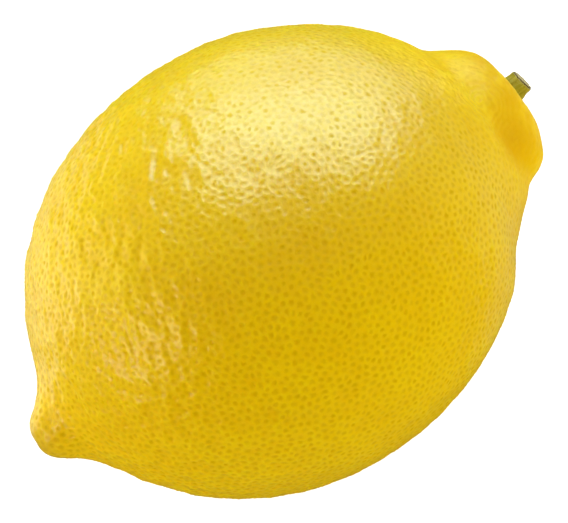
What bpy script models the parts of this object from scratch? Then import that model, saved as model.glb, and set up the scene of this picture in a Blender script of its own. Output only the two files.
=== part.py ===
"""A whole lemon lying on its side: the fruit, the five-lobed calyx in the hollow at its stem end, and the cut stub of stem.

Axes: +X runs along the fruit to the stem, +Z is up, and the resting flat lies on z = 0 with the origin at its middle.
Lengths below are in millimetres and the mesh is built in metres.
"""

import math

import bmesh
import bpy
import numpy as np

MM = 0.001

# Half outline of the fruit as (distance along the axis, radius), from the hollow round the stem to the nipple.
OUTLINE = [
    (37.5, 0.0), (37.6, 2.0), (38.05, 3.6), (38.8, 4.8), (39.2, 5.7), (39.1, 6.6), (38.5, 7.65),
    (37.3, 8.9), (36.0, 9.95), (34.6, 10.85), (33.2, 11.75), (31.9, 13.3), (30.4, 15.1), (28.9, 16.75),
    (27.4, 18.35), (24.9, 21.15), (20.8, 24.55), (16.6, 27.0), (11.2, 29.2), (5.6, 30.45), (-1.2, 30.95),
    (-8.1, 30.4), (-13.6, 29.08), (-17.8, 27.5), (-21.9, 25.28), (-26.0, 22.3), (-28.8, 19.7), (-31.5, 16.4),
    (-33.0, 14.25), (-34.4, 11.7), (-35.8, 8.9), (-37.0, 6.75), (-38.3, 5.25), (-39.7, 4.25), (-41.0, 3.25),
    (-42.0, 1.9), (-42.4, 0.0),
]  # fmt: skip

# Departure from a round section, as a share of the radius: (share, waves round the fruit, phase in degrees).
SECTION_WAVES = [(-0.0085, 0, 0), (0.0085, 2, 0), (0.0035, 3, 90), (0.002, 5, -90)]

# Lobes and furrows of the collar round the stem: (height mm, azimuth deg, width deg). Azimuth 0 is +Y, 90 is up.
COLLAR_LOBES = [
    (0.05, 85, 30), (0.25, 140, 22), (0.35, 175, 24), (-0.25, 34, 14), (0.25, 8, 22),
    (-0.5, 215, 18), (0.35, 250, 22), (-0.45, 290, 17), (0.2, 325, 18),
]  # fmt: skip
COLLAR_AT, COLLAR_WIDTH = 13.0, 6.5

# Broad swells and hollows of the skin: (polar angle deg, azimuth deg, height, spread along, spread round), mm.
SWELLS = [
    (32.4, 0, 0.8, 5.0, 11.0), (22.0, 180, 0.6, 2.4, 7.0), (36.1, 180, -0.35, 3.5, 10.0), (19.0, 180, -0.1, 1.0, 5.0),
    (16.8, 119, -0.75, 2.4, 3.0), (16.2, 180, 1.22, 2.4, 6.5), (16.2, 0, -0.55, 2.6, 6.0), (179.5, 0, -0.3, 0.75, 0.75),
    (16.5, 64, 0.45, 2.4, 3.0), (169.5, 190, 0.32, 3.6, 3.5), (9.5, 62, -0.22, 1.3, 3.0), (14.0, 45, 0.45, 2.0, 4.0),
    (21.5, 38, -0.2, 2.2, 4.0), (165.5, 32, -0.22, 3.0, 4.0),
    (52, 60, 0.18, 7, 8), (70, 120, -0.16, 8, 7), (88, 45, 0.15, 9, 8), (104, 100, 0.16, 8, 7), (122, 55, -0.15, 8, 8),
    (140, 110, 0.16, 6, 7), (60, 230, 0.18, 8, 8), (84, 300, 0.15, 8, 9), (112, 235, -0.15, 8, 7), (136, 300, 0.16, 7, 7),
]  # fmt: skip

SIDE_BOW = 0.85  # the middle of the body stands this far to +Y of the line through both ends
NIPPLE_SIDE = 0.6  # the nipple falls back by this much to -Y
NIPPLE_LIFT = 0.117  # and leans up by this much for each mm past its neck

REST_AT = (-0.8, 0.9)  # middle of the resting flat, under the centre of gravity
REST_DEPTH = 0.3  # how much the skin is flattened there

AROUND = 64  # points round the fruit
FINE_STEP, COARSE_STEP = 0.85, 2.7  # spacing of the rings, at the ends and over the body
FINE_TO, FINE_FROM = 24.0, 160.0  # polar angles between which the rings are coarse

GAP = 0.34  # clearance between the fruit, the calyx and the stub

CALYX_HOLE = 2.55
CALYX_NOTCH, CALYX_TIP = 3.35, 4.85  # radius between the lobes and at their tips
CALYX_LOBES = 5
CALYX_TURN = 24.0
CALYX_THICK, CALYX_EDGE = 0.95, 0.28
CALYX_AROUND = 80

STUB_FOOT = (37.95, 0.47)  # (along the axis, side) of the middle of its foot
STUB_TOP = (42.2, 0.9)  # and of the middle of the cut
STUB_RADII = (2.16, 2.14, 2.06, 1.95, 1.82, 1.72, 1.68)
STUB_CUT_TILT = 18.5  # the cut leans by this much, its upper edge nearer the fruit
STUB_RIBS, STUB_RIB_HEIGHT = 9, 0.05
STUB_AROUND = 36


def cubic_spline(xs, ys):
    """Natural cubic through the points, as a function of an array."""
    n = len(xs)
    h = np.diff(xs)
    rows = np.zeros((n, n))
    right = np.zeros(n)
    rows[0, 0] = rows[-1, -1] = 1
    for i in range(1, n - 1):
        rows[i, i - 1 : i + 2] = h[i - 1], 2 * (h[i - 1] + h[i]), h[i]
        right[i] = 6 * ((ys[i + 1] - ys[i]) / h[i] - (ys[i] - ys[i - 1]) / h[i - 1])
    m = np.linalg.solve(rows, right)

    def value(x):
        i = np.clip(np.searchsorted(xs, x) - 1, 0, n - 2)
        a, b, w = x - xs[i], xs[i + 1] - x, h[i]
        bend = (m[i] * b**3 + m[i + 1] * a**3) / (6 * w)
        return bend + (ys[i] / w - m[i] * w / 6) * b + (ys[i + 1] / w - m[i + 1] * w / 6) * a

    return value


def radius_by_angle():
    """Distance from the middle to the outline against the polar angle, smooth across both poles."""
    angle = np.array([math.atan2(r, x) for x, r in OUTLINE])
    reach = np.array([math.hypot(x, r) for x, r in OUTLINE])
    k = 4
    angle = np.concatenate([-angle[k:0:-1], angle, 2 * math.pi - angle[-2 : -2 - k : -1]])
    reach = np.concatenate([reach[k:0:-1], reach, reach[-2 : -2 - k : -1]])
    return cubic_spline(angle, reach)


REACH = radius_by_angle()


def bell(x, at, width):
    return np.exp(-(((x - at) / width) ** 2))


def turn_from(azimuth, at):
    """Signed angle in degrees from one azimuth to another."""
    return (np.degrees(azimuth) - at + 180) % 360 - 180


def side_shift(x):
    """How far the section at x stands to +Y."""
    body = SIDE_BOW * np.exp(-((x / 39.0) ** 10)) + 0.22 * bell(x, -24.0, 9.0)
    nipple = -NIPPLE_SIDE / (1 + np.exp((x + 36.5) / 0.9))
    return body + nipple + 0.15 * bell(x, 41.0, 3.0)


def skin(polar, azimuth):
    """Points of the outer skin, in mm about the middle of the fruit, for arrays of polar angle and azimuth."""
    sine = np.sin(polar)
    reach = REACH(polar)
    share = sum(a * np.cos(n * azimuth + math.radians(p)) for a, n, p in SECTION_WAVES)
    reach = reach * (1 + sine**2 * share)
    lobes = sum(a * bell(turn_from(azimuth, at), 0, w) for a, at, w in COLLAR_LOBES)
    reach = reach + bell(np.degrees(polar), COLLAR_AT, COLLAR_WIDTH) * lobes
    for at, turn, height, along, around in SWELLS:
        centre = math.radians(at)
        far = float(REACH(np.array([centre]))[0])
        d_along = (polar - centre) * far
        d_around = np.radians(turn_from(azimuth, turn)) * math.sin(centre) * far
        reach = reach + height * np.exp(-((d_along / along) ** 2) - (d_around / around) ** 2)
    x = reach * np.cos(polar)
    y = reach * sine * np.cos(azimuth) + side_shift(x)
    z = reach * sine * np.sin(azimuth) + NIPPLE_LIFT * np.log1p(np.exp((-x - 36.0) / 0.9))
    return np.stack([x, y, z], axis=-1)


def place(points, low):
    """Moves points from the middle of the fruit to the frame of the part, in metres."""
    return (points - np.array([REST_AT[0], REST_AT[1], low])) * MM


def material(name, colour, roughness):
    made = bpy.data.materials.new(name)
    made.use_nodes = True
    shader = made.node_tree.nodes["Principled BSDF"]
    shader.inputs["Base Color"].default_value = (*colour, 1.0)
    shader.inputs["Roughness"].default_value = roughness
    shader.inputs["Metallic"].default_value = 0.0
    return made


def add_object(name, mesh_builder, colour, roughness):
    bm = bmesh.new()
    mesh_builder(bm)
    bmesh.ops.recalc_face_normals(bm, faces=bm.faces)
    if bm.calc_volume(signed=True) < 0:
        bmesh.ops.reverse_faces(bm, faces=bm.faces)
    for face in bm.faces:
        face.smooth = True
    data = bpy.data.meshes.new(name)
    bm.to_mesh(data)
    bm.free()
    data.materials.append(material(name, colour, roughness))
    made = bpy.data.objects.new(name, data)
    bpy.context.scene.collection.objects.link(made)
    return made


def rings_of(bm, rings):
    return [[bm.verts.new(point) for point in ring] for ring in rings]


def bridge(bm, first, second):
    n = len(first)
    for i in range(n):
        j = (i + 1) % n
        bm.faces.new((first[i], first[j], second[j], second[i]))


def ring_angles():
    """Polar angles of the rings: close together over the collar and the nipple."""
    angles = []
    at = 0.0
    while True:
        degrees = math.degrees(at)
        fine = degrees < FINE_TO or degrees > FINE_FROM
        at += (FINE_STEP if fine else COARSE_STEP) / float(REACH(np.array([at]))[0])
        if at >= math.pi - 0.012:
            return np.array(angles)
        angles.append(at)


def lowest(around=720, along=720):
    polar, azimuth = np.meshgrid(
        np.linspace(1.2, 2.0, along), np.linspace(-1.9, -1.2, around), indexing="ij"
    )
    return float(skin(polar, azimuth)[..., 2].min())


LOW = lowest() + REST_DEPTH


def build_fruit(bm):
    azimuth = np.linspace(0, 2 * math.pi, AROUND, endpoint=False)
    rings = [place(skin(np.full(AROUND, p), azimuth), LOW) for p in ring_angles()]
    made = rings_of(bm, rings)
    for first, second in zip(made, made[1:]):
        bridge(bm, first, second)
    for polar, ring in ((0.0, made[0]), (math.pi, made[-1])):
        tip = bm.verts.new(place(skin(np.array([polar]), np.array([0.0])), LOW)[0])
        for i in range(AROUND):
            bm.faces.new((ring[i], ring[(i + 1) % AROUND], tip))
    # The small flat the fruit rests on.
    everything = bm.verts[:] + bm.edges[:] + bm.faces[:]
    cut = bmesh.ops.bisect_plane(
        bm, geom=everything, dist=1e-7, plane_co=(0, 0, 0), plane_no=(0, 0, -1), clear_outer=True
    )
    corners = [item for item in cut["geom_cut"] if isinstance(item, bmesh.types.BMVert)]
    for corner in corners:
        corner.co.z = 0.0
    bmesh.ops.remove_doubles(bm, verts=corners, dist=0.4 * MM)
    rim = [edge for edge in bm.edges if edge.is_boundary]
    middle = bm.verts.new((0.0011, 0.0007, 0.0))
    for edge in rim:
        bm.faces.new((edge.verts[0], edge.verts[1], middle))


def calyx_reach(azimuth):
    """Outer radius of the calyx: five blunt lobes, each a little different."""
    turn = np.radians(CALYX_TURN)
    wave = np.abs(np.cos(CALYX_LOBES * (azimuth - turn) / 2)) ** 0.9
    uneven = 1 + 0.05 * np.sin(azimuth * 2 + 1.0) + 0.035 * np.cos(azimuth * 3)
    return CALYX_NOTCH + (CALYX_TIP - CALYX_NOTCH) * wave * uneven


def above_hollow(radius, azimuth, height):
    """Points a given height, along the axis, above the hollow round the stem."""
    points = skin(np.arcsin(radius / 38.3), azimuth)
    points[..., 0] += height
    return points


def build_calyx(bm):
    azimuth = np.linspace(0, 2 * math.pi, CALYX_AROUND, endpoint=False)
    outer = calyx_reach(azimuth)
    lobe = np.abs(np.cos(CALYX_LOBES * (azimuth - np.radians(CALYX_TURN)) / 2))
    sections = []
    for u in (0.0, 0.25, 0.5, 0.75, 0.93):
        radius = CALYX_HOLE + (outer - CALYX_HOLE) * u
        sections.append(above_hollow(radius, azimuth, np.full_like(radius, GAP)))
    for u in (1.0, 0.93, 0.75, 0.5, 0.25, 0.06, 0.0):
        radius = CALYX_HOLE + (outer - CALYX_HOLE) * u
        thick = CALYX_EDGE + (CALYX_THICK - CALYX_EDGE) * (1 - u) ** 1.4
        thick = thick + 0.08 * lobe**6 * math.sin(math.pi * u)
        rounding = {1.0: 0.5, 0.93: 0.85, 0.0: 0.86}.get(u, 1.0)
        sections.append(above_hollow(radius, azimuth, GAP + thick * rounding))
    made = rings_of(bm, [place(section, LOW) for section in sections])
    for first, second in zip(made, made[1:] + made[:1]):
        bridge(bm, first, second)


def build_stub(bm):
    foot = np.array([STUB_FOOT[0], STUB_FOOT[1], 0.0])
    top = np.array([STUB_TOP[0], STUB_TOP[1], 0.12])
    axis = (top - foot) / np.linalg.norm(top - foot)
    side = np.cross([0.0, 0.0, 1.0], axis)
    side /= np.linalg.norm(side)
    rise = np.cross(axis, side)
    azimuth = np.linspace(0, 2 * math.pi, STUB_AROUND, endpoint=False)
    ribs = STUB_RIB_HEIGHT * np.cos(STUB_RIBS * azimuth) + 0.03 * np.cos(2 * azimuth + 0.7)
    ring = np.cos(azimuth)[:, None] * side + np.sin(azimuth)[:, None] * rise
    # The cut leans: its -Z edge reaches further along the axis than its +Z edge.
    lean = -np.sin(azimuth) * math.tan(math.radians(STUB_CUT_TILT))
    sections = []
    count = len(STUB_RADII)
    for i, radius in enumerate(STUB_RADII):
        u = i / (count - 1)
        reach = radius + ribs
        centre = foot + (top - foot) * u
        sections.append(centre + ring * reach[:, None] + axis * (lean * reach * u)[:, None])
    for inset, drop in ((0.09, -0.06), (0.55, -0.02), (1.15, 0.0)):
        reach = STUB_RADII[-1] + ribs * (1 if inset < 0.2 else 0.3) - inset
        sections.append(top + ring * reach[:, None] + axis * (lean * reach - drop * 0.5 + 0.02)[:, None])
    made = rings_of(bm, [place(section, LOW) for section in sections])
    for first, second in zip(made, made[1:]):
        bridge(bm, first, second)
    ends = ((foot, made[0]), (top + axis * 0.0, made[-1]))
    for centre, ring_verts in ends:
        tip = bm.verts.new(place(centre, LOW))
        for i in range(STUB_AROUND):
            bm.faces.new((ring_verts[i], ring_verts[(i + 1) % STUB_AROUND], tip))


for old in list(bpy.data.objects):
    bpy.data.objects.remove(old, do_unlink=True)

add_object("fruit", build_fruit, (0.84, 0.58, 0.02), 0.38)
add_object("calyx", build_calyx, (0.16, 0.17, 0.05), 0.75)
add_object("stem_stub", build_stub, (0.22, 0.21, 0.05), 0.7)
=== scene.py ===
import math

import bmesh
import bpy
import numpy as np
from mathutils import Matrix, Vector, kdtree


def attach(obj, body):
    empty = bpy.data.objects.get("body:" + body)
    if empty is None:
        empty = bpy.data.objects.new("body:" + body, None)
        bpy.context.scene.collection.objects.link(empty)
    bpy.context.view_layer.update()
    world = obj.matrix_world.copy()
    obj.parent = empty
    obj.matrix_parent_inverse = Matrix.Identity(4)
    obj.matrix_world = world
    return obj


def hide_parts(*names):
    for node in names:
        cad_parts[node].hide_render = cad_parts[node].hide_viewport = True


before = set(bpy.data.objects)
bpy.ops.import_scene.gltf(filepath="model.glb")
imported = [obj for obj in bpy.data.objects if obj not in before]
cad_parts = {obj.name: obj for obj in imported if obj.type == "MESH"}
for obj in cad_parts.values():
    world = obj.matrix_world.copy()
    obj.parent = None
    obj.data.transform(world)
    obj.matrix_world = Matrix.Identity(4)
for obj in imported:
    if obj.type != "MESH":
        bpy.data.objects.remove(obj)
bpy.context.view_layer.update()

MM = 0.001

# ---------------------------------------------------------------------------------------------
# The shape of the fruit, as in the CAD source: mm about the middle of the fruit, +X to the stem.

OUTLINE = [
    (37.5, 0.0), (37.6, 2.0), (38.05, 3.6), (38.8, 4.8), (39.2, 5.7), (39.1, 6.6), (38.5, 7.65),
    (37.3, 8.9), (36.0, 9.95), (34.6, 10.85), (33.2, 11.75), (31.9, 13.3), (30.4, 15.1), (28.9, 16.75),
    (27.4, 18.35), (24.9, 21.15), (20.8, 24.55), (16.6, 27.0), (11.2, 29.2), (5.6, 30.45), (-1.2, 30.95),
    (-8.1, 30.4), (-13.6, 29.08), (-17.8, 27.5), (-21.9, 25.28), (-26.0, 22.3), (-28.8, 19.7), (-31.5, 16.4),
    (-33.0, 14.25), (-34.4, 11.7), (-35.8, 8.9), (-37.0, 6.75), (-38.3, 5.25), (-39.7, 4.25), (-41.0, 3.25),
    (-42.0, 1.9), (-42.4, 0.0),
]
SECTION_WAVES = [(-0.0085, 0, 0), (0.0085, 2, 0), (0.0035, 3, 90), (0.002, 5, -90)]
COLLAR_LOBES = [
    (0.05, 85, 30), (0.25, 140, 22), (0.35, 175, 24), (-0.25, 34, 14), (0.25, 8, 22),
    (-0.5, 215, 18), (0.35, 250, 22), (-0.45, 290, 17), (0.2, 325, 18),
]
COLLAR_AT, COLLAR_WIDTH = 13.0, 6.5
SWELLS = [
    (32.4, 0, 0.8, 5.0, 11.0), (22.0, 180, 0.6, 2.4, 7.0), (36.1, 180, -0.35, 3.5, 10.0), (19.0, 180, -0.1, 1.0, 5.0),
    (16.8, 119, -0.75, 2.4, 3.0), (16.2, 180, 1.22, 2.4, 6.5), (16.2, 0, -0.55, 2.6, 6.0), (179.5, 0, -0.3, 0.75, 0.75),
    (16.5, 64, 0.45, 2.4, 3.0), (169.5, 190, 0.32, 3.6, 3.5), (9.5, 62, -0.22, 1.3, 3.0), (14.0, 45, 0.45, 2.0, 4.0),
    (21.5, 38, -0.2, 2.2, 4.0), (165.5, 32, -0.22, 3.0, 4.0),
    (52, 60, 0.18, 7, 8), (70, 120, -0.16, 8, 7), (88, 45, 0.15, 9, 8), (104, 100, 0.16, 8, 7), (122, 55, -0.15, 8, 8),
    (140, 110, 0.16, 6, 7), (60, 230, 0.18, 8, 8), (84, 300, 0.15, 8, 9), (112, 235, -0.15, 8, 7), (136, 300, 0.16, 7, 7),
]
SIDE_BOW = 0.85
NIPPLE_SIDE = 0.6
NIPPLE_LIFT = 0.117
REST_AT = (-0.8, 0.9)
REST_DEPTH = 0.3


def cubic_spline(xs, ys):
    n = len(xs)
    h = np.diff(xs)
    rows = np.zeros((n, n))
    right = np.zeros(n)
    rows[0, 0] = rows[-1, -1] = 1
    for i in range(1, n - 1):
        rows[i, i - 1 : i + 2] = h[i - 1], 2 * (h[i - 1] + h[i]), h[i]
        right[i] = 6 * ((ys[i + 1] - ys[i]) / h[i] - (ys[i] - ys[i - 1]) / h[i - 1])
    m = np.linalg.solve(rows, right)

    def value(x):
        i = np.clip(np.searchsorted(xs, x) - 1, 0, n - 2)
        a, b, w = x - xs[i], xs[i + 1] - x, h[i]
        bend = (m[i] * b**3 + m[i + 1] * a**3) / (6 * w)
        return bend + (ys[i] / w - m[i] * w / 6) * b + (ys[i + 1] / w - m[i + 1] * w / 6) * a

    return value


def radius_by_angle():
    angle = np.array([math.atan2(r, x) for x, r in OUTLINE])
    reach = np.array([math.hypot(x, r) for x, r in OUTLINE])
    k = 4
    angle = np.concatenate([-angle[k:0:-1], angle, 2 * math.pi - angle[-2 : -2 - k : -1]])
    reach = np.concatenate([reach[k:0:-1], reach, reach[-2 : -2 - k : -1]])
    return cubic_spline(angle, reach)


REACH = radius_by_angle()


def bell(x, at, width):
    return np.exp(-(((x - at) / width) ** 2))


def turn_from(azimuth, at):
    return (np.degrees(azimuth) - at + 180) % 360 - 180


def side_shift(x):
    body = SIDE_BOW * np.exp(-((x / 39.0) ** 10)) + 0.22 * bell(x, -24.0, 9.0)
    nipple = -NIPPLE_SIDE / (1 + np.exp((x + 36.5) / 0.9))
    return body + nipple + 0.15 * bell(x, 41.0, 3.0)


def lift(x):
    return NIPPLE_LIFT * np.log1p(np.exp((-x - 36.0) / 0.9))


def skin(polar, azimuth):
    sine = np.sin(polar)
    reach = REACH(polar)
    share = sum(a * np.cos(n * azimuth + math.radians(p)) for a, n, p in SECTION_WAVES)
    reach = reach * (1 + sine**2 * share)
    lobes = sum(a * bell(turn_from(azimuth, at), 0, w) for a, at, w in COLLAR_LOBES)
    reach = reach + bell(np.degrees(polar), COLLAR_AT, COLLAR_WIDTH) * lobes
    for at, turn, height, along, around in SWELLS:
        centre = math.radians(at)
        far = float(REACH(np.array([centre]))[0])
        d_along = (polar - centre) * far
        d_around = np.radians(turn_from(azimuth, turn)) * math.sin(centre) * far
        reach = reach + height * np.exp(-((d_along / along) ** 2) - (d_around / around) ** 2)
    x = reach * np.cos(polar)
    y = reach * sine * np.cos(azimuth) + side_shift(x)
    z = reach * sine * np.sin(azimuth) + lift(x)
    return np.stack([x, y, z], axis=-1)


def lowest(around=720, along=720):
    polar, azimuth = np.meshgrid(np.linspace(1.2, 2.0, along), np.linspace(-1.9, -1.2, around), indexing="ij")
    return float(skin(polar, azimuth)[..., 2].min())


LOW = lowest() + REST_DEPTH
MIDDLE = np.array([REST_AT[0], REST_AT[1], LOW])


def place(points):
    """From mm about the middle of the fruit to the shared frame, in metres."""
    return (points - MIDDLE) * MM


def direction_of(points):
    """Direction from the middle that the skin point nearest to each point has."""
    flat = points.copy()
    flat[:, 1] -= side_shift(points[:, 0])
    flat[:, 2] -= lift(points[:, 0])
    return flat / np.linalg.norm(flat, axis=1, keepdims=True)


def on_skin(directions):
    polar = np.arccos(np.clip(directions[:, 0], -1, 1))
    azimuth = np.arctan2(directions[:, 2], directions[:, 1])
    return skin(polar, azimuth)


def waves(points, wavelength, seed, count=28):
    """Band-limited random relief of unit spread: a sum of cosines in all directions."""
    rng = np.random.default_rng(seed)
    total = np.zeros(len(points))
    for _ in range(count):
        way = rng.normal(size=3)
        way /= np.linalg.norm(way)
        pitch = wavelength * rng.uniform(0.75, 1.3)
        total += np.cos(points @ way * (2 * math.pi / pitch) + rng.uniform(0, 2 * math.pi))
    return total * math.sqrt(2 / count)


def smooth_step(x, low, high):
    t = np.clip((x - low) / (high - low), 0, 1)
    return t * t * (3 - 2 * t)


# ---------------------------------------------------------------------------------------------
# The rind: every oil gland is a pit of its own in the mesh.

GLANDS = 10300
GLAND_PITCH = 1.3
JITTER = 0.42
GLAND_RIM = 0.66


def gland_points():
    rng = np.random.default_rng(11)
    angle = np.linspace(0, math.pi, 4001)
    reach = REACH(angle)
    x, r = reach * np.cos(angle), reach * np.sin(angle)
    area = np.concatenate([[0], np.cumsum(math.pi * (r[1:] + r[:-1]) * np.hypot(np.diff(x), np.diff(r)))])
    index = np.arange(GLANDS)
    polar = np.interp((index + 0.5) / GLANDS * area[-1], area, angle)
    azimuth = index * math.pi * (3 - math.sqrt(5))
    points = skin(polar, azimuth)
    points = points + rng.normal(size=points.shape) * GLAND_PITCH * JITTER
    points = on_skin(direction_of(points))
    tree = kdtree.KDTree(GLANDS)
    for i, point in enumerate(points):
        tree.insert(point, i)
    tree.balance()
    first, second = [], []
    for i, point in enumerate(points):
        for _, j, _ in tree.find_range(point, GLAND_PITCH * 2.2):
            if j > i:
                first.append(i)
                second.append(j)
    first, second = np.array(first), np.array(second)
    reach = GLAND_PITCH * 1.22
    for _ in range(4):
        apart = points[first] - points[second]
        far = np.linalg.norm(apart, axis=1) + 1e-9
        push = np.clip(1 - far / reach, 0, 1) * 0.42 * GLAND_PITCH
        step = apart / far[:, None] * push[:, None]
        move = np.stack([np.bincount(first, step[:, k], GLANDS) - np.bincount(second, step[:, k], GLANDS) for k in range(3)], 1)
        points = on_skin(direction_of(points + move))
    return points


def triangles_between(points):
    """Well-shaped triangles that join the glands, as an index array turned outwards."""
    bm = bmesh.new()
    for way in direction_of(points):
        bm.verts.new(way)
    bm.verts.ensure_lookup_table()
    bm.verts.index_update()
    mark = bm.verts.layers.int.new("gland")
    for i, vert in enumerate(bm.verts):
        vert[mark] = i
    made = bmesh.ops.convex_hull(bm, input=bm.verts, use_existing_faces=False)
    bmesh.ops.triangulate(bm, faces=bm.faces)
    for vert in bm.verts:
        vert.co = points[vert[mark]]
    for _ in range(3):
        bmesh.ops.beautify_fill(bm, faces=bm.faces, edges=bm.edges, method="ANGLE")
    loose = [vert for vert in bm.verts if not vert.link_faces]
    print("glands", len(bm.verts), "loose", len(loose), "faces", len(bm.faces))
    faces = np.array([[vert[mark] for vert in face.verts] for face in bm.faces])
    bm.free()
    del made
    a, b, c = (points[faces[:, k]] for k in range(3))
    outward = np.einsum("ij,ij->i", np.cross(b - a, c - a), a + b + c) > 0
    faces[~outward] = faces[~outward][:, ::-1]
    return faces


def normals_of(points, faces):
    a, b, c = (points[faces[:, k]] for k in range(3))
    flat = np.cross(b - a, c - a)
    total = np.zeros_like(points)
    for k in range(3):
        for axis in range(3):
            total[:, axis] += np.bincount(faces[:, k], flat[:, axis], len(points))
    return total / (np.linalg.norm(total, axis=1, keepdims=True) + 1e-12)


def atlas(directions, faces):
    """Six-sided unwrapping: each face of the mesh goes on the side it looks to, all at one scale."""
    way = directions * np.array([0.86, 1.0, 1.0])
    middle = way[faces].mean(axis=1)
    side = np.abs(middle).argmax(axis=1)
    sign = np.sign(middle[np.arange(len(faces)), side])
    uv = np.zeros((len(faces), 3, 2))
    for axis in range(3):
        for turn in (-1, 1):
            mine = (side == axis) & (sign == turn)
            corner = way[faces[mine]]
            main = corner[..., axis] * turn
            across = np.arctan2(corner[..., (axis + 1) % 3], main) / (math.pi / 4)
            up = np.arctan2(corner[..., (axis + 2) % 3], main) / (math.pi / 4)
            cell_x, cell_y = axis, (turn + 1) // 2
            uv[mine, :, 0] = (cell_x + 0.5 + across * 0.475) / 3
            uv[mine, :, 1] = (cell_y + 0.5 + up * 0.475) / 2
    return uv


def mesh_object(name, points, faces, material, corner_layers=(), point_layers=()):
    data = bpy.data.meshes.new(name)
    data.vertices.add(len(points))
    data.vertices.foreach_set("co", np.ascontiguousarray(points, dtype=np.float32).ravel())
    data.loops.add(faces.size)
    data.loops.foreach_set("vertex_index", faces.astype(np.int32).ravel())
    data.polygons.add(len(faces))
    width = faces.shape[1]
    data.polygons.foreach_set("loop_start", np.arange(len(faces), dtype=np.int32) * width)
    data.update(calc_edges=True)
    data.validate()
    data.polygons.foreach_set("use_smooth", np.ones(len(faces), dtype=bool))
    for layer, values in corner_layers:
        uv = data.uv_layers.new(name=layer)
        uv.data.foreach_set("uv", values.astype(np.float32).ravel())
    for layer, values in point_layers:
        attribute = data.attributes.new(layer, "FLOAT", "POINT")
        attribute.data.foreach_set("value", values.astype(np.float32).ravel())
    made = bpy.data.objects.new(name, data)
    bpy.context.scene.collection.objects.link(made)
    data.materials.append(material)
    return made


WHORL_AT = np.array([33.2, -0.1, 11.7])
RIDGE_WAY = np.array([0.588, 0.809, 0.0])
HIGHLIGHT_WAY = np.array([0.17, 0.62, 0.766])  # the side where the main highlight falls: the gland dots are painted palest there, a painted highlight


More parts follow.
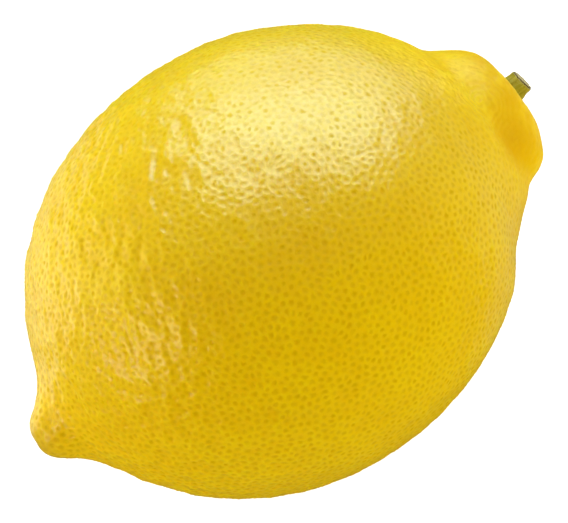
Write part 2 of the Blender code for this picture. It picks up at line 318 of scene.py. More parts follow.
def build_rind(material):
    rng = np.random.default_rng(5)
    glands = gland_points()
    coarse = triangles_between(glands)
    n = len(glands)
    pairs = np.sort(np.concatenate([coarse[:, [0, 1]], coarse[:, [1, 2]], coarse[:, [2, 0]]]), axis=1)
    edges, where = np.unique(pairs, axis=0, return_inverse=True)
    where = where.reshape(3, -1).T
    count = len(coarse)
    near, far = glands[edges[:, 0]], glands[edges[:, 1]]
    share = 0.45
    parts = [
        glands,
        near + (far - near) * share,
        far + (near - far) * share,
        glands[coarse].mean(axis=1),
    ]
    start1, start2, start3 = n, n + len(edges), n + 2 * len(edges)
    directions = direction_of(np.concatenate(parts))
    points = on_skin(directions)

    def point_on(side, from_end):
        """Index of the point a third along this side of each coarse face, from the corner given."""
        edge = where[:, side]
        return np.where(edges[edge, 0] == from_end, start1 + edge, start2 + edge)

    a, b, c = coarse.T
    ab, ba = point_on(0, a), point_on(0, b)
    bc, cb = point_on(1, b), point_on(1, c)
    ca, ac = point_on(2, c), point_on(2, a)
    m = start3 + np.arange(count)
    corner_fans = [(a, ab, ac), (b, bc, ba), (c, ca, cb)]
    others = [(ab, ba, m), (ab, m, ac), (ac, m, ca), (ba, bc, m), (m, bc, cb), (m, cb, ca)]
    faces = np.concatenate([np.stack(t, axis=1) for t in corner_fans + others])
    base_normals = normals_of(points, faces)

    # Where each gland's pit is, for the shader: the offset from the gland in its own tangent plane, in mm.
    far_off = np.full((len(faces), 3, 2), 9.0)
    size = rng.uniform(0.72, 1.15, n) * (1 + 0.1 * waves(glands, 9.0, 32))
    for k, (gland, p, q) in enumerate(corner_fans):
        rows = slice(k * count, (k + 1) * count)
        normal = base_normals[gland]
        first = np.cross(normal, np.array([0.3, 0.2, 1.0]))
        first /= np.linalg.norm(first, axis=1, keepdims=True)
        second = np.cross(normal, first)
        for slot, index in enumerate((gland, p, q)):
            offset = (points[index] - points[gland]) / np.clip(size[gland], 0.6, 1.2)[:, None]
            offset = np.stack([np.einsum("ij,ij->i", offset, first), np.einsum("ij,ij->i", offset, second)], axis=1)
            if slot:  # a gland squeezed by its neighbours still fades out at its own rim
                offset = offset * np.maximum(1.0, GLAND_RIM / np.linalg.norm(offset, axis=1))[:, None]
            far_off[rows, slot] = offset

    polar = np.degrees(np.arccos(np.clip(directions[:, 0], -1, 1)))
    turn = np.degrees(np.arctan2(directions[:, 2], directions[:, 1]))
    collar = 1 - smooth_step(polar, 10, 22)
    # Orange patches on the collar, and darker amber in the furrow beside the collar and round the nipple's neck, where
    # it is painted shade.
    amber = bell(polar, 18.0, 4.5) * bell((turn - 131 + 180) % 360 - 180, 0, 26)
    amber = amber + 0.5 * bell(polar, 13.5, 3.5) * (
        bell((turn - 55 + 180) % 360 - 180, 0, 20) + bell((turn - 101 + 180) % 360 - 180, 0, 14)
    )
    amber = np.maximum(amber, 0.5 * bell(polar, 164.0, 4.0) * bell((turn + 80 + 180) % 360 - 180, 0, 50))
    plain = 1 - smooth_step(polar - 11 * bell((turn - 50 + 180) % 360 - 180, 0, 45), 16, 37)
    whorl = bell(np.linalg.norm(points - WHORL_AT, axis=1), 0, 4.2)
    under = smooth_step(-points[:, 2], 4.0, 20.0)
    # The side where the main highlight falls: its glands are painted paler, a painted highlight, and their pits are
    # made shallower.
    cheek = bell(np.degrees(np.arccos(np.clip(directions @ HIGHLIGHT_WAY, -1, 1))), 0, 40)
    nipple = smooth_step(polar, 158, 171)
    hollow = 1 - smooth_step(polar, 5.5, 9.0)
    tip = smooth_step(polar, 173, 178)

    # Relief.
    broad = waves(points, 13.0, 21)
    drawn = points * np.array([1.0, 0.6, 0.6])
    pebble = waves(drawn, 3.4, 22)
    pebble_small = waves(drawn, 1.9, 23)
    rough_side = 0.5 + 0.5 * smooth_step(-points[:, 0] + 0.45 * points[:, 1], -14, 24)
    calm = (1 - 0.75 * hollow) * (1 - 0.7 * tip) * (1 - 0.35 * nipple) * (1 - 0.5 * plain)
    height = 0.03 * broad * calm + (0.045 * pebble + 0.032 * pebble_small) * rough_side * calm
    along = points @ RIDGE_WAY
    ridged = points - 0.62 * along[:, None] * RIDGE_WAY
    height += 0.03 * waves(ridged, 1.9, 24) * smooth_step(rough_side, 0.8, 1.0) * calm
    depth = rng.uniform(0.5, 1.4, n) * (0.07 + 0.018 * waves(glands, 7.0, 31)) * (0.6 + 0.8 * rough_side[:n])
    depth = 0.8 * np.clip(depth, 0.02, 0.2) * calm[:n] * (1 - 0.8 * plain[:n]) * (1 - 0.6 * cheek[:n])
    height[:n] -= depth
    ends = edges
    height[start1:start2] -= 0.3 * depth[ends[:, 0]]
    height[start2:start3] -= 0.3 * depth[ends[:, 1]]
    height[n:start3] += rng.normal(0, 0.008, start3 - n) * calm[n:start3]
    height[start3:] += (0.03 + rng.normal(0, 0.018, len(points) - start3)) * calm[start3:]
    points = points + base_normals * height[:, None]
    tone = np.full(len(points), 0.5)
    tone[:n] = rng.uniform(0, 1, n)
    placed = place(points)
    placed[:, 2] = np.maximum(placed[:, 2], 0.0)

    made = mesh_object(
        "rind",
        placed,
        faces,
        material,
        corner_layers=(("OFBake", atlas(directions, faces)), ("gland", far_off)),
        point_layers=(
            ("tone", tone),
            ("collar", collar),
            ("amber", amber),
            ("nipple", nipple),
            ("hollow", hollow),
            ("tip", tip),
            ("height", height),
            ("plain", plain),
            ("whorl", whorl),
            ("under", under),
            ("cheek", cheek),
            ("rough", smooth_step(rough_side, 0.84, 1.0)),
        ),
    )
    return made


# ---------------------------------------------------------------------------------------------
# The calyx and the cut stem

CALYX_LOBES, CALYX_TURN = 5, 24.0
CALYX_NOTCH, CALYX_TIP = 3.35, 4.85
CALYX_ROUND = 300
STEM_FOOT = np.array([37.95, 0.47, 0.0])
STEM_TOP = np.array([42.2, 0.9, 0.12])
STEM_RADII = (2.16, 2.14, 2.06, 1.95, 1.82, 1.72, 1.68)
STEM_CUT_TILT = 18.5
STEM_ROUND = 216


def ring_mesh(name, rings, material, wrap, point_layers):
    """A closed skin over rings of points in mm. wrap joins the last ring to the first; else each end gets a centre point."""
    count, around = rings.shape[:2]
    points = rings.reshape(-1, 3)
    length = np.concatenate([[0], np.cumsum(np.linalg.norm(np.diff(rings, axis=0), axis=2).mean(axis=1))])
    if wrap:
        last = np.linalg.norm(rings[-1] - rings[0], axis=1).mean()
        v = np.append(length, length[-1] + last) / (length[-1] + last)
    else:
        v = 0.04 + 0.92 * length / length[-1]
    j = np.arange(around)
    k = (j + 1) % around
    faces, uvs = [], []

    def add(corners, places):
        faces.append(np.stack(corners, axis=1))
        uvs.append(np.stack([np.stack([np.broadcast_to(u, j.shape), np.full(around, w)], axis=1) for u, w in places], axis=1))

    for i in range(count if wrap else count - 1):
        one, two = i * around, ((i + 1) % count) * around
        left, right = j / around, (j + 1) / around
        add((one + j, one + k, two + k), ((left, v[i]), (right, v[i]), (right, v[i + 1])))
        add((one + j, two + k, two + j), ((left, v[i]), (right, v[i + 1]), (left, v[i + 1])))
    layers = [(label, values.reshape(-1)) for label, values in point_layers]
    if not wrap:
        for ring, level, flip in ((0, 0.0, True), (count - 1, 1.0, False)):
            index = len(points)
            points = np.concatenate([points, rings[ring].mean(axis=0)[None]])
            layers = [(label, np.append(values, values[ring * around])) for label, values in layers]
            centre = np.full(around, index)
            here = ring * around
            mid = (j + 0.5) / around
            if flip:
                add((here + k, here + j, centre), ((right, v[ring]), (left, v[ring]), (mid, level)))
            else:
                add((here + j, here + k, centre), ((left, v[ring]), (right, v[ring]), (mid, level)))
    faces, uvs = np.concatenate(faces), np.concatenate(uvs)
    corner = points[faces]
    if np.einsum("ij,ij->i", corner[:, 0], np.cross(corner[:, 1], corner[:, 2])).sum() < 0:
        faces, uvs = faces[:, ::-1], uvs[:, ::-1]
    return mesh_object(name, place(points), faces, material, (("OFBake", uvs),), layers)


def over_hollow(radius, azimuth, height):
    """Points that stand a given height, along the fruit's axis, over the hollow round the stem."""
    points = skin(np.arcsin(radius / 38.3), azimuth)
    points[..., 0] += height
    return points


def build_calyx(material):
    """Five blunt dry lobes pressed to the fruit, with midribs, fibres and a curled, chipped rim."""
    azimuth = np.linspace(0, 2 * math.pi, CALYX_ROUND, endpoint=False)
    turn = math.radians(CALYX_TURN)
    cosine = np.abs(np.cos(CALYX_LOBES * (azimuth - turn) / 2))
    wave = cosine**0.9
    uneven = 1 + 0.05 * np.sin(azimuth * 2 + 1.0) + 0.035 * np.cos(azimuth * 3)
    rng = np.random.default_rng(41)
    ragged = sum(
        a * np.cos(n * azimuth + rng.uniform(0, 6.28)) for n, a in ((11, 0.05), (17, 0.045), (26, 0.035), (41, 0.022), (67, 0.012))
    )
    outer = CALYX_NOTCH + (CALYX_TIP - CALYX_NOTCH) * wave * uneven + ragged
    inner = np.full_like(azimuth, 1.95)
    curl = 0.16 * np.clip(np.cos(3 * azimuth + 0.8) + 0.4 * np.cos(7 * azimuth), 0, 1.3) + 0.05 * rng.uniform(0, 1, CALYX_ROUND)
    fibre = np.cos(46 * azimuth + 1.3 * np.sin(3 * azimuth)) + 0.6 * np.cos(83 * azimuth + 2.0 * np.sin(5 * azimuth))
    rib_turn = (azimuth - turn) * CALYX_LOBES / (2 * math.pi)
    from_rib = np.abs(rib_turn - np.round(rib_turn)) * 2
    rings, edge, rib, fibres = [], [], [], []

    def add(u, height, level):
        radius = inner + (outer - inner) * u
        rings.append(over_hollow(radius, azimuth, height))
        edge.append(np.full(CALYX_ROUND, level))
        rib.append(bell(from_rib, 0, 0.2) * math.sin(math.pi * min(max(u, 0.0), 1.0)) ** 0.5 if 0 < u < 1 else np.zeros(CALYX_ROUND))
        fibres.append(0.5 + 0.3 * fibre * min(1.0, u * 1.6))

    for u in (0.0, 0.2, 0.4, 0.6, 0.8, 0.92, 0.98):
        add(u, 0.07 + curl * smooth_step(u, 0.75, 1.0), 0.5)
    for u in np.concatenate([np.linspace(1.0, 0.94, 5), np.linspace(0.9, 0.1, 22), [0.06, 0.03, 0.0]]):
        thick = 0.26 + 0.62 * (1 - u) ** 1.3 + 0.75 * bell(u, 0.0, 0.1)
        thick = thick * (0.45 + 0.55 * smooth_step(1 - u, -0.001, 0.045))
        thick = thick + 0.16 * bell(from_rib, 0, 0.17) * math.sin(math.pi * u) ** 0.7 * (1 if u > 0 else 0)
        thick = thick + 0.028 * fibre * smooth_step(u, 0.08, 0.4) * smooth_step(1 - u, 0.0, 0.06)
        thick = thick + 0.13 * bell(u, 0.9, 0.06) * (0.6 + 0.4 * np.cos(9 * azimuth + 1))
        thick = thick - 0.1 * bell(u, 0.62, 0.12) * (1 - bell(from_rib, 0, 0.35))
        add(u, 0.07 + thick + curl * smooth_step(u, 0.75, 1.0), u)
    rings = np.array(rings)
    flat = rings.reshape(-1, 3)
    rough = (0.022 * waves(flat, 0.9, 51) + 0.014 * waves(flat, 0.42, 52)).reshape(rings.shape[:2])
    rough[:7] *= 0.3
    rings[..., 0] += rough
    return ring_mesh(
        "calyx_button", rings, material, True, (("edge", np.array(edge)), ("rib", np.array(rib)), ("fibre", np.array(fibres)))
    )


def build_stem(material):
    """The snipped stem: ribbed green bark, shrunk back from a wood core that stands a little proud."""
    axis = STEM_TOP - STEM_FOOT
    axis = axis / np.linalg.norm(axis)
    side = np.cross([0.0, 0.0, 1.0], axis)
    side /= np.linalg.norm(side)
    rise = np.cross(axis, side)
    azimuth = np.linspace(0, 2 * math.pi, STEM_ROUND, endpoint=False)
    ring = np.cos(azimuth)[:, None] * side + np.sin(azimuth)[:, None] * rise
    lean = -np.sin(azimuth) * math.tan(math.radians(STEM_CUT_TILT))
    knots = np.linspace(0, 1, len(STEM_RADII))
    rng = np.random.default_rng(61)
    nick = 0.05 * np.clip(sum(np.cos(n * azimuth + rng.uniform(0, 6.28)) for n in (5, 9, 14, 23)) / 2.2, -1, 1)
    rings, zone, far = [], [], []

    def add(u, share, out, height, kind):
        """One ring: u up the bark, share of the radius kept, out pushed outwards, height along the stem."""
        ribs = 0.05 * np.cos(9 * azimuth + 0.5 * u) + 0.03 * np.cos(2 * azimuth + 0.7) + 0.016 * np.cos(25 * azimuth - 2.0 * u)
        ribs = ribs + 0.012 * np.cos(38 * azimuth + 3.0 * u + 1.0)
        reach = (np.interp(u, knots, STEM_RADII) + ribs * share**2 + out) * share
        centre = STEM_FOOT + (STEM_TOP - STEM_FOOT) * u
        rings.append(centre + ring * reach[:, None] + axis * (lean * reach * smooth_step(u, -0.2, 1.0) + height)[:, None])
        zone.append(np.full(STEM_ROUND, float(kind)))
        far.append(np.full(STEM_ROUND, share))

    back = -0.1
    for u in np.linspace(0, 0.93, 30):
        add(u, 1.0, 0.03 * bell(u, 0.9, 0.05) + 0.12 * bell(u, 0.0, 0.22), back * smooth_step(u, 0.5, 0.95), 0)
    add(0.97, 1.0, 0.025, back + 0.3 * nick, 0)
    add(1.0, 0.995, 0.0, back + 0.6 * nick, 0.3)
    for share, height in ((0.99, 0.02), (0.978, 0.025), (0.966, 0.0), (0.958, -0.08)):
        add(1.0, share, 0.0, back + height + nick, 0.6)
    for share, height in ((0.946, -0.12), (0.936, -0.03), (0.932, 0.05), (0.928, 0.12), (0.92, 0.165)):
        add(1.0, share, 0.0, back + height + 0.4 * nick, 1.0)
    for share in (0.9, 0.88, 0.85, 0.81, 0.76, 0.7, 0.63, 0.56, 0.48, 0.4, 0.32, 0.26):
        add(1.0, share, 0.0, back + 0.175 + 0.3 * nick * share**4, 2.0)
    for share, height in ((0.22, 0.155), (0.18, 0.1), (0.13, 0.06), (0.08, 0.04), (0.04, 0.03)):
        add(1.0, share, 0.0, back + height, 3.0)
    rings = np.array(rings)
    zones, shares = np.array(zone), np.array(far)
    flat = rings.reshape(-1, 3)
    bark = (0.014 * waves(flat * np.array([0.4, 1, 1]), 0.5, 62) + 0.02 * waves(flat, 1.1, 63)).reshape(rings.shape[:2])
    outward = np.broadcast_to(ring, rings.shape)
    rings = rings + outward * (bark * (zones < 0.5))[..., None]
    saw = (0.018 * waves(flat * np.array([1, 1, 0.35]), 0.45, 64) + 0.022 * waves(flat, 0.6, 65)).reshape(rings.shape[:2])
    rings = rings + axis * (saw * (zones > 1.5) + 0.6 * saw * ((zones > 0.5) & (zones < 0.9)))[..., None]
    return ring_mesh("stem_end", rings, material, False, (("zone", zones), ("share", shares)))


# ---------------------------------------------------------------------------------------------
# Materials


class Nodes:
    """Short forms for building a material's nodes."""

    def __init__(self, name):
        self.material = bpy.data.materials.new(name)
        self.material.use_nodes = True
        self.tree = self.material.node_tree
        self.shader = self.tree.nodes["Principled BSDF"]

    def add(self, kind, **settings):
        node = self.tree.nodes.new(kind)
        for key, value in settings.items():
            setattr(node, key, value)
        return node

    def link(self, source, target):
        self.tree.links.new(source, target)

    def put(self, target, value):
        if isinstance(value, bpy.types.NodeSocket):
            self.link(value, target)
        else:
            target.default_value = value

    def attribute(self, name, output="Fac"):
        return self.add("ShaderNodeAttribute", attribute_name=name).outputs[output]

    def maths(self, operation, a, b=0.0, clamp=False):
        node = self.add("ShaderNodeMath", operation=operation, use_clamp=clamp)
        self.put(node.inputs[0], a)
        self.put(node.inputs[1], b)
        return node.outputs[0]

    def range(self, value, low, high, to_low=0.0, to_high=1.0, kind="SMOOTHSTEP"):
        node = self.add("ShaderNodeMapRange", interpolation_type=kind)
        self.put(node.inputs["Value"], value)
        for key, number in (("From Min", low), ("From Max", high), ("To Min", to_low), ("To Max", to_high)):
            node.inputs[key].default_value = number
        return node.outputs["Result"]

    def noise(self, scale, detail=3.0, roughness=0.5, vector=None, distortion=0.0):
        node = self.add("ShaderNodeTexNoise")
        node.inputs["Scale"].default_value = scale
        node.inputs["Detail"].default_value = detail
        node.inputs["Roughness"].default_value = roughness
        node.inputs["Distortion"].default_value = distortion
        self.link(vector if vector is not None else self.coordinates(), node.inputs["Vector"])
        return node.outputs["Fac"]

    def coordinates(self):
        return self.add("ShaderNodeTexCoord").outputs["Object"]

    def mix(self, amount, a, b, blend="MIX"):
        node = self.add("ShaderNodeMix", data_type="RGBA", blend_type=blend)
        self.put(node.inputs["Factor"], amount)
        for socket, value in ((node.inputs[6], a), (node.inputs[7], b)):
            if isinstance(value, tuple):
                value = (*value, 1.0)
            self.put(socket, value)
        return node.outputs[2]

    def bump(self, height, strength, distance, normal=None):
        node = self.add("ShaderNodeBump")
        node.inputs["Strength"].default_value = strength
        node.inputs["Distance"].default_value = distance
        self.link(height, node.inputs["Height"])
        if normal is not None:
            self.link(normal, node.inputs["Normal"])
        return node.outputs["Normal"]


def rind_material():
    m = Nodes("rind")
    s = m.shader
    uv = m.add("ShaderNodeUVMap", uv_map="gland").outputs["UV"]
    away = m.add("ShaderNodeVectorMath", operation="LENGTH")
    m.link(uv, away.inputs[0])
    away = away.outputs["Value"]
    tone = m.attribute("tone")
    # Ground colour: lemon yellow drifting to gold.
    drift = m.noise(55, 2.0, 0.5)
    fine = m.noise(900, 2.0, 0.6)
    colour = m.mix(m.range(drift, 0.35, 0.68), (0.84, 0.565, 0.001), (0.80, 0.50, 0.0005))
    grain = m.noise(2700, 2.0, 0.55)
    colour = m.mix(m.maths("MULTIPLY", fine, 0.25), colour, (0.90, 0.62, 0.002))
    colour = m.mix(m.range(grain, 0.35, 0.65, 0.22, 0.0), colour, (0.74, 0.42, 0.0))
    # Both ends turn orange, and darker amber is painted in the furrow by the collar and round the neck of the nipple as
    # painted shade; the hollow and the tip turn browner and greener.
    colour = m.mix(m.maths("MULTIPLY", m.attribute("collar"), 0.6), colour, (0.86, 0.485, 0.001))
    # Darker amber: the collar's orange patches, and painted shade in the furrow and the nipple's neck.
    colour = m.mix(m.maths("MULTIPLY", m.attribute("amber"), 0.85), colour, (0.66, 0.33, 0.0005))
    colour = m.mix(m.maths("MULTIPLY", m.attribute("nipple"), 0.5), colour, (0.90, 0.56, 0.006))
    colour = m.mix(m.maths("MULTIPLY", m.attribute("hollow"), 0.45), colour, (0.52, 0.40, 0.03))
    # Fine lines run from the collar to the stem, and ring a whorl on its upper side.
    plain = m.attribute("plain")
    drawn = m.add("ShaderNodeMapping")
    m.link(m.coordinates(), drawn.inputs["Vector"])
    drawn.inputs["Scale"].default_value = (0.2, 1.0, 1.0)
    lines = m.noise(1500, 2.0, 0.5, drawn.outputs["Vector"])
    colour = m.mix(m.maths("MULTIPLY", m.maths("MULTIPLY", plain, m.range(lines, 0.5, 0.7)), 0.35), colour, (0.74, 0.42, 0.001))
    mottle = m.noise(640, 1.0, 0.5)
    pale = m.maths("MULTIPLY", plain, m.range(m.attribute("amber"), 0.0, 0.6, 0.45, 0.08))
    colour = m.mix(m.maths("MULTIPLY", pale, m.range(mottle, 0.4, 0.66)), colour, (0.92, 0.66, 0.02))
    centre = m.add("ShaderNodeVectorMath", operation="SUBTRACT")
    m.link(m.coordinates(), centre.inputs[0])
    centre.inputs[1].default_value = tuple(place(WHORL_AT[None])[0])
    rings = m.add("ShaderNodeTexWave", wave_type="RINGS", rings_direction="SPHERICAL")
    m.link(centre.outputs[0], rings.inputs["Vector"])
    for key, number in (("Scale", 330.0), ("Distortion", 9.0), ("Detail", 2.0), ("Detail Scale", 1.2)):
        rings.inputs[key].default_value = number
    rings = m.maths("MULTIPLY", rings.outputs["Fac"], m.attribute("whorl"))
    colour = m.mix(m.maths("MULTIPLY", rings, 0.35), colour, (0.92, 0.68, 0.03))
    # The glands show through as darker dots with a soft edge, painted palest where the main highlight falls: a painted
    # highlight.
    cheek = m.attribute("cheek")
    # The low parts of the relief, deepest in the pits, are painted darker: painted shade, on top of the glands' own
    # darker dots.
    pit = m.range(m.attribute("height"), 0.06, -0.16)
    colour = m.mix(m.maths("MULTIPLY", pit, m.range(cheek, 0.0, 1.0, 0.45, 0.05, "LINEAR")), colour, (0.78, 0.44, 0.001))
    wide = m.range(tone, 0.0, 1.0, 1.12, 0.76, "LINEAR")
    ragged = m.maths("ADD", m.maths("MULTIPLY", away, wide), m.range(grain, 0.25, 0.75, -0.1, 0.1, "LINEAR"))
    core = m.range(ragged, 0.12, GLAND_RIM, 1.0, 0.0)
    strength = m.maths("MULTIPLY", m.range(tone, 0.0, 1.0, 0.45, 1.0, "LINEAR"), m.range(plain, 0.0, 1.0, 1.0, 0.15, "LINEAR"))
    # Paler dots where the main highlight falls: a painted highlight.
    strength = m.maths("MULTIPLY", strength, m.range(cheek, 0.0, 1.0, 1.0, 0.4, "LINEAR"))
    dots = m.maths("MULTIPLY", core, strength)
    colour = m.mix(dots, colour, (0.65, 0.385, 0.0))
    # Scuffs on the side away from the sun, and the dry scar at the tip.
    scuff = m.maths("MULTIPLY", m.range(m.noise(70, 5.0, 0.65, distortion=0.8), 0.6, 0.68), m.attribute("under"))
    colour = m.mix(m.maths("MULTIPLY", scuff, m.range(m.noise(1400, 3.0, 0.7), 0.3, 0.7, 0.05, 0.5)), colour, (0.62, 0.42, 0.10))
    colour = m.mix(m.maths("MULTIPLY", m.attribute("tip"), 0.5), colour, (0.50, 0.33, 0.03))
    m.link(colour, s.inputs["Base Color"])
    m.link(m.range(m.noise(700, 3.0, 0.6), 0.3, 0.7, 0.5, 0.6, "LINEAR"), s.inputs["Roughness"])
    # The wax lies on the skin between the glands, and the glands themselves are dull.
    wax = m.range(m.noise(1500, 2.0, 0.6), 0.32, 0.68, 0.6, 1.0, "LINEAR")
    bare = m.maths("MULTIPLY", m.range(core, 0.0, 0.9), m.range(tone, 0.4, 0.95, 0.14, 0.85))
    bare = m.maths("MULTIPLY", bare, m.range(plain, 0.0, 1.0, 1.0, 0.1, "LINEAR"))
    wax = m.maths("MULTIPLY", wax, m.maths("SUBTRACT", 1.0, bare))
    wax = m.maths("MULTIPLY", wax, m.range(m.attribute("amber"), 0.0, 0.8, 1.0, 0.3, "LINEAR"))
    wax = m.maths("MULTIPLY", wax, m.range(plain, 0.0, 1.0, 1.0, 0.3, "LINEAR"))
    m.link(wax, s.inputs["Coat Weight"])
    s.inputs["Coat Roughness"].default_value = 0.31
    s.inputs["Coat IOR"].default_value = 1.9
    s.inputs["Subsurface Weight"].default_value = 0.25
    s.inputs["Subsurface Radius"].default_value = (1.0, 0.6, 0.12)
    s.inputs["Subsurface Scale"].default_value = 0.0016
    s.inputs["IOR"].default_value = 1.5
    s.inputs["Specular IOR Level"].default_value = 0.12
    # Finer shape than the mesh holds: the rounded lip of each pit, short ridges between the pits, and a fine grain.
    lip = m.range(m.maths("ADD", away, m.range(m.noise(2600, 1.0, 0.5), 0.0, 1.0, -0.05, 0.05, "LINEAR")), 0.0, 0.55)
    lip = m.maths("MULTIPLY", m.maths("MULTIPLY", lip, m.range(tone, 0.0, 1.0, 0.4, 1.0, "LINEAR")), m.range(cheek, 0.0, 1.0, 1.0, 0.5, "LINEAR"))
    normal = m.bump(lip, 1.0, 0.00003)
    ridges = m.noise(700, 1.0, 0.5, distortion=0.3)
    normal = m.bump(ridges, 1.0, 0.00005, normal)
    stretched = m.add("ShaderNodeMapping", vector_type="TEXTURE")
    m.link(m.coordinates(), stretched.inputs["Vector"])
    stretched.inputs["Rotation"].default_value = (0, 0, math.atan2(RIDGE_WAY[1], RIDGE_WAY[0]))
    stretched.inputs["Scale"].default_value = (1.8, 1.0, 1.0)
    strokes = m.maths("MULTIPLY", m.noise(640, 0.0, 0.5, stretched.outputs["Vector"]), m.attribute("rough"))
    normal = m.bump(strokes, 1.0, 0.00032, normal)
    normal = m.bump(m.maths("MULTIPLY", lines, plain), 1.0, 0.00005, normal)
    normal = m.bump(m.maths("MULTIPLY", mottle, plain), 1.0, 0.00016, normal)
    normal = m.bump(rings, 1.0, 0.00006, normal)
    normal = m.bump(m.noise(2400, 2.0, 0.5), 0.5, 0.00002, normal)
    m.link(normal, s.inputs["Normal"])
    m.link(normal, s.inputs["Coat Normal"])
    return m.material


def calyx_material():
    m = Nodes("calyx")
    s = m.shader
    edge, rib, fibre = m.attribute("edge"), m.attribute("rib"), m.attribute("fibre")
    blotch = m.noise(900, 4.0, 0.6)
    grain = m.noise(4200, 3.0, 0.6)
    colour = m.mix(m.range(blotch, 0.35, 0.65), (0.20, 0.17, 0.035), (0.34, 0.27, 0.085))
    colour = m.mix(m.maths("MULTIPLY", m.range(fibre, 0.35, 0.9), 0.5), colour, (0.40, 0.34, 0.15))
    colour = m.mix(m.maths("MULTIPLY", rib, 0.6), colour, (0.44, 0.37, 0.14))
    dry = m.maths("ADD", edge, m.maths("MULTIPLY", blotch, 0.35))
    colour = m.mix(m.range(dry, 0.92, 1.2), colour, (0.13, 0.07, 0.022))
    colour = m.mix(m.maths("MULTIPLY", m.range(grain, 0.5, 0.75), 0.45), colour, (0.10, 0.06, 0.02))
    m.link(colour, s.inputs["Base Color"])
    m.link(m.range(grain, 0.3, 0.7, 0.55, 0.8, "LINEAR"), s.inputs["Roughness"])
    s.inputs["Specular IOR Level"].default_value = 0.35
    m.link(m.bump(grain, 0.6, 0.00008), s.inputs["Normal"])
    return m.material


def stem_material():
    m = Nodes("stem")
    s = m.shader
    zone, share = m.attribute("zone"), m.attribute("share")
    mapping = m.add("ShaderNodeMapping")
    m.link(m.coordinates(), mapping.inputs["Vector"])
    mapping.inputs["Scale"].default_value = (0.22, 1.0, 1.0)
    streak = m.noise(2600, 3.0, 0.6, mapping.outputs["Vector"])
    blotch = m.noise(700, 3.0, 0.55)
    speck = m.noise(6500, 2.0, 0.6)
    # Bark: yellow-green, streaked along the stem, with corky flecks.
    bark = m.mix(m.range(blotch, 0.38, 0.62), (0.37, 0.29, 0.004), (0.44, 0.345, 0.03))
    bark = m.mix(m.range(streak, 0.45, 0.75), bark, (0.26, 0.21, 0.003))
    bark = m.mix(m.maths("MULTIPLY", m.range(streak, 0.5, 0.25), 0.6), bark, (0.55, 0.46, 0.14))
    bark = m.mix(m.maths("MULTIPLY", m.range(speck, 0.56, 0.7), 0.6), bark, (0.2, 0.15, 0.02))
    rim = m.mix(m.range(speck, 0.35, 0.65), (0.42, 0.36, 0.17), (0.27, 0.22, 0.09))
    wood = m.mix(m.range(speck, 0.4, 0.6), (0.58, 0.49, 0.31), (0.27, 0.21, 0.12))
    wood = m.mix(m.maths("MULTIPLY", m.range(blotch, 0.5, 0.7), 0.5), wood, (0.36, 0.30, 0.20))
    pith = m.mix(m.range(speck, 0.4, 0.7), (0.66, 0.58, 0.38), (0.50, 0.41, 0.22))
    colour = m.mix(m.range(zone, 0.05, 0.35), bark, rim)
    colour = m.mix(m.range(zone, 0.62, 0.9), colour, (0.085, 0.045, 0.004))
    colour = m.mix(m.range(zone, 1.35, 1.8), colour, wood)
    colour = m.mix(m.range(zone, 2.3, 2.8), colour, pith)
    del share
    m.link(colour, s.inputs["Base Color"])
    m.link(m.range(speck, 0.3, 0.7, 0.55, 0.78, "LINEAR"), s.inputs["Roughness"])
    s.inputs["Specular IOR Level"].default_value = 0.2
    normal = m.bump(streak, 0.7, 0.00008)
    m.link(m.bump(speck, 0.4, 0.00004, normal), s.inputs["Normal"])
    return m.material


# ---------------------------------------------------------------------------------------------
# Floor, light and camera

VIEW_ELEVATION = 77.0
VIEW_AZIMUTH = 180 + math.degrees(math.atan2(math.sin(math.radians(VIEW_ELEVATION)), math.tan(math.radians(36))))
VIEW_FAR = 0.48
VIEW_LENS = 220.6
RIM_GLOW = 0.03


def view_axes():
    e, a = math.radians(VIEW_ELEVATION), math.radians(VIEW_AZIMUTH)
    back = Vector((math.cos(e) * math.cos(a), math.cos(e) * math.sin(a), math.sin(e)))
    right = Vector((-math.sin(a), math.cos(a), 0))
    return right, back.cross(right), back


def make_camera():
    data = bpy.data.cameras.new("camera")
    camera = bpy.data.objects.new("camera", data)
    bpy.context.scene.collection.objects.link(camera)
    bpy.context.scene.camera = camera
    data.lens = VIEW_LENS
    data.sensor_width = 36
    right, up, back = view_axes()
    target = Vector(place(np.zeros((1, 3)))[0])
    camera.location = target + back * VIEW_FAR
    camera.rotation_euler = (back).to_track_quat("Z", "Y").to_euler()
    data.clip_start, data.clip_end = 0.01, 20
    return camera


def from_view(x, y, z):
    """A direction given to the right, up and towards the viewer of the main view, in the shared frame."""
    right, up, back = view_axes()
    return (right * x + up * y + back * z).normalized()


def area_light(name, direction, far, size, power, colour=(1, 1, 1), roll=None, glossy=True, diffuse=True):
    data = bpy.data.lights.new(name, "AREA")
    data.shape = "RECTANGLE"
    data.size, data.size_y = size
    data.energy = power
    data.color = colour
    light = bpy.data.objects.new(name, data)
    bpy.context.scene.collection.objects.link(light)
    middle = Vector((0, 0, 0.03))
    direction = Vector(direction).normalized()
    light.location = middle + direction * far
    z = direction
    if roll is None:
        y = Vector((0, 0, 1)) - z * z.z
    else:
        y = Vector(roll) - z * z.dot(Vector(roll))
    y.normalize()
    x = y.cross(z)
    light.rotation_euler = Matrix((x, y, z)).transposed().to_euler()
    light.visible_camera = False
    light.visible_glossy = glossy
    light.visible_diffuse = diffuse
    data.cycles.use_multiple_importance_sampling = glossy
    return light


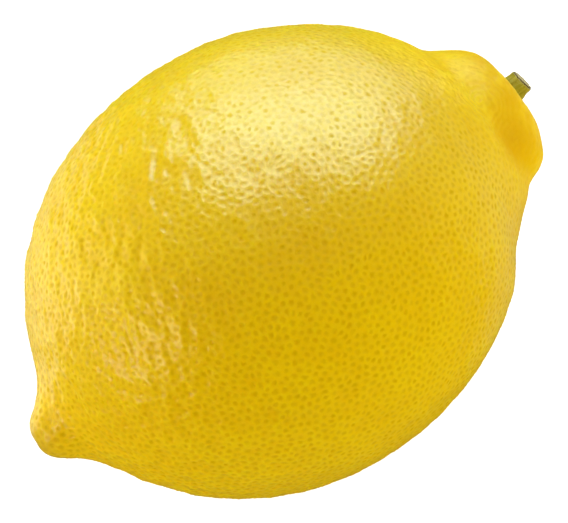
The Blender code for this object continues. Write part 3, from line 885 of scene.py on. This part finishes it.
def make_floor():
    size = 3.0
    data = bpy.data.meshes.new("floor")
    data.from_pydata([(-size, -size, 0), (size, -size, 0), (size, size, 0), (-size, size, 0)], [], [(0, 1, 2, 3)])
    floor = bpy.data.objects.new("floor", data)
    bpy.context.scene.collection.objects.link(floor)
    floor.location.z = -0.00005
    floor.visible_glossy = False
    floor.visible_shadow = False
    m = Nodes("floor")
    seen = m.add("ShaderNodeLightPath").outputs["Is Camera Ray"]
    m.link(m.mix(seen, (0.5, 0.5, 0.05), (0.5, 0.5, 0.5)), m.shader.inputs["Base Color"])
    m.link(m.mix(seen, (1.0, 1.0, 0.1), (1.0, 1.0, 1.0)), m.shader.inputs["Emission Color"])
    m.shader.inputs["Roughness"].default_value = 0.9
    m.shader.inputs["Specular IOR Level"].default_value = 0.1
    m.link(m.range(seen, 0.0, 1.0, 0.62, 0.85, "LINEAR"), m.shader.inputs["Emission Strength"])
    data.materials.append(m.material)
    return floor


def make_world():
    """A pale backdrop for the eye. What it sheds on the fruit comes from the lamps below, apart from a glow near the table."""
    world = bpy.data.worlds.new("world")
    bpy.context.scene.world = world
    world.use_nodes = True
    world.cycles.sampling_method = "NONE"
    tree = world.node_tree
    back = tree.nodes["Background"]
    back.inputs["Color"].default_value = (1.0, 1.0, 1.0, 1)
    split = tree.nodes.new("ShaderNodeSeparateXYZ")
    tree.links.new(tree.nodes.new("ShaderNodeTexCoord").outputs["Generated"], split.inputs[0])
    low = tree.nodes.new("ShaderNodeMapRange")
    low.interpolation_type = "SMOOTHSTEP"
    for key, number in (("From Min", -0.85), ("From Max", -0.3), ("To Min", RIM_GLOW), ("To Max", 0.0)):
        low.inputs[key].default_value = number
    tree.links.new(split.outputs["Z"], low.inputs["Value"])
    seen = tree.nodes.new("ShaderNodeMix")
    tree.links.new(tree.nodes.new("ShaderNodeLightPath").outputs["Is Camera Ray"], seen.inputs[0])
    tree.links.new(low.outputs["Result"], seen.inputs[2])
    seen.inputs[3].default_value = 1.0
    tree.links.new(seen.outputs[0], back.inputs["Strength"])


def dome_light(name, irradiance, spread, colour):
    """Even light from the whole upper half, as a lamp of great angle."""
    data = bpy.data.lights.new(name, "SUN")
    data.energy = irradiance
    data.angle = math.radians(spread)
    data.color = colour
    light = bpy.data.objects.new(name, data)
    bpy.context.scene.collection.objects.link(light)
    light.visible_camera = False
    light.visible_glossy = False
    data.cycles.use_multiple_importance_sampling = False
    return light


bpy.context.scene.view_settings.view_transform = "Standard"
make_camera()
make_floor()
make_world()
AWAY = from_view(0.0, 0.3, -0.95)
WAX_LIGHT, LEMON, WARM = (0.6, 0.92, 1.0), (0.8, 0.97, 0.9), (1.0, 0.98, 0.62)
dome_light("dome", 1.40, 150, (1.0, 0.965, 0.9))
area_light("key", from_view(0.08, 0.9, 0.43), 0.6, (0.76, 0.54), 3.4, WAX_LIGHT, AWAY, diffuse=False)
area_light("key_wide", from_view(0.08, 0.99, 0.09), 0.6, (0.9, 0.95), 4.4, WAX_LIGHT, AWAY, diffuse=False)
area_light("key_soft", from_view(0.08, 0.95, 0.30), 0.6, (0.8, 0.7), 1.29, LEMON, AWAY, glossy=False)
area_light("side", from_view(-0.97, 0.05, -0.14), 0.6, (0.3, 0.8), 0.62, WARM, diffuse=False)
area_light("right", from_view(0.93, 0.25, -0.1), 0.6, (0.4, 0.6), 0.15, WARM, diffuse=False)
area_light("tip", from_view(-0.75, -0.45, 0.45), 0.6, (0.25, 0.25), 0.4, diffuse=False)
area_light("rim_left", from_view(-0.75, 0.1, -0.65), 0.6, (0.5, 0.5), 0.47, diffuse=False)
area_light("rim_right", from_view(0.7, 0.15, -0.7), 0.6, (0.5, 0.5), 0.2, diffuse=False)
area_light("rim_soft", from_view(-0.6, 0.8, -0.05), 0.6, (0.5, 0.3), 1.9, LEMON, glossy=False)
area_light("tip_soft", from_view(-0.9, -0.4, 0.2), 0.6, (0.4, 0.3), 0.6, glossy=False)
area_light("side_soft", from_view(-0.97, 0.05, 0.3), 0.6, (0.4, 0.4), 1.28, glossy=False)
area_light("low_soft", from_view(0.35, -0.85, 0.5), 0.6, (0.4, 0.3), 0.92, glossy=False)
area_light("right_soft", from_view(0.95, 0.25, 0.3), 0.6, (0.4, 0.3), 1.42, glossy=False)
area_light("fill", from_view(0.15, -0.35, 0.9), 0.8, (0.6, 0.6), 0.64, glossy=False)

rind = build_rind(rind_material())
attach(rind, "root")
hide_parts("fruit")
calyx = build_calyx(calyx_material())
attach(calyx, "root")
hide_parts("calyx")
stem = build_stem(stem_material())
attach(stem, "root")
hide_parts("stem_stub")
for piece in (rind, calyx, stem):
    print(piece.name, len(piece.data.polygons), "faces")
